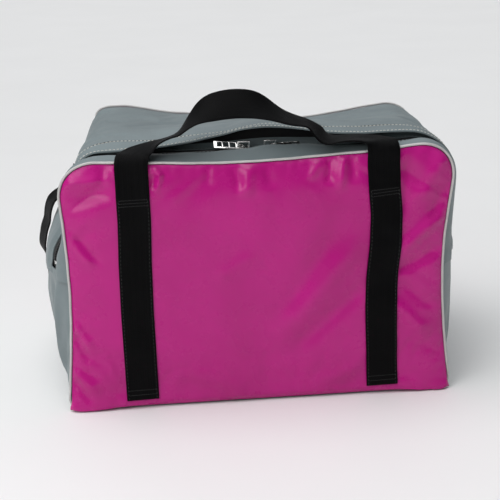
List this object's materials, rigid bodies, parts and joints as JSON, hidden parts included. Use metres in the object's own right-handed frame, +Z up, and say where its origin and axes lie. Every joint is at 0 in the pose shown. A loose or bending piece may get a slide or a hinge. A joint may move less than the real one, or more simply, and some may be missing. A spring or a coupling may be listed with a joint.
{
  "type": "skate bag",
  "caption": "Boxy zip-top sports bag in coated tarpaulin, with webbing handles, piped seams, a storm flap and a two-way zip.",
  "frame": {"origin": "centre of the bottom panel's flat underside, which rests on the floor", "axes": "+X along the bag's width, to its right end; +Y from the front panel to the back panel; +Z up"},
  "size_m": [0.5114, 0.3593, 0.3745],
  "materials": {
    "pink_tarpaulin": "gloss",
    "grey_tarpaulin": "satin",
    "black_webbing": "matte",
    "white_piping": "satin",
    "black_zip_tape": "matte",
    "black_zip_teeth": "satin",
    "chrome": "polished",
    "stiffener": "matte",
    "binding": "matte"
  },
  "bodies": {
    "bag": {"front_panel": "pink_tarpaulin", "back_panel": "pink_tarpaulin", "front_piping": "white_piping", "back_piping": "white_piping", "seam_binding_front": "binding", "seam_binding_back": "binding", "bottom_panel": "grey_tarpaulin", "left_side_panel": "grey_tarpaulin", "right_side_panel": "grey_tarpaulin", "top_front_strip": "grey_tarpaulin", "top_rear_panel": "grey_tarpaulin", "flap_end_left": "grey_tarpaulin", "flap_end_right": "grey_tarpaulin", "base_board": "stiffener", "zip_tape_front": "black_zip_tape", "zip_tape_rear": "black_zip_tape", "zip_teeth_front": "black_zip_teeth", "zip_teeth_rear": "black_zip_teeth", "zip_end_stop_left": "chrome", "zip_end_stop_right": "chrome", "front_strap_left": "black_webbing", "front_strap_right": "black_webbing", "back_strap_left": "black_webbing", "back_strap_right": "black_webbing", "side_handle": "black_webbing"},
    "left_slider": {"slider_left": "chrome"},
    "left_pull": {"pull_left": "chrome"},
    "right_slider": {"slider_right": "chrome"},
    "right_pull": {"pull_right": "chrome"},
    "flap": {"storm_flap": "grey_tarpaulin"},
    "front_grip": {"front_handle": "black_webbing"},
    "back_grip": {"back_handle": "black_webbing"}
  },
  "joints": [
    {"name": "left_slider_slide", "type": "slide", "parent": "bag", "child": "left_slider", "axis": [-1, 0, 0], "range_m": [0, 0.105]},
    {"name": "right_slider_slide", "type": "slide", "parent": "bag", "child": "right_slider", "axis": [1, 0, 0], "range_m": [0, 0.1]},
    {"name": "left_pull_flip", "type": "hinge", "parent": "left_slider", "child": "left_pull", "pos_m": [-0.013, -0.11, 0.3019], "axis": [0, 1, 0], "range_deg": [0, 150]},
    {"name": "right_pull_flip", "type": "hinge", "parent": "right_slider", "child": "right_pull", "pos_m": [0.018, -0.11, 0.3019], "axis": [0, -1, 0], "range_deg": [0, 150]},
    {"name": "storm_flap_lift", "type": "hinge", "parent": "bag", "child": "flap", "pos_m": [0, -0.0855, 0.3181], "axis": [-1, 0, 0], "range_deg": [0, 90]},
    {"name": "front_handle_swing", "type": "hinge", "parent": "bag", "child": "front_grip", "pos_m": [0, -0.15512, 0.26], "axis": [1, 0, 0], "range_deg": [0, 145]},
    {"name": "back_handle_swing", "type": "hinge", "parent": "bag", "child": "back_grip", "pos_m": [0, 0.15512, 0.26], "axis": [1, 0, 0], "range_deg": [0, 145]}
  ]
}
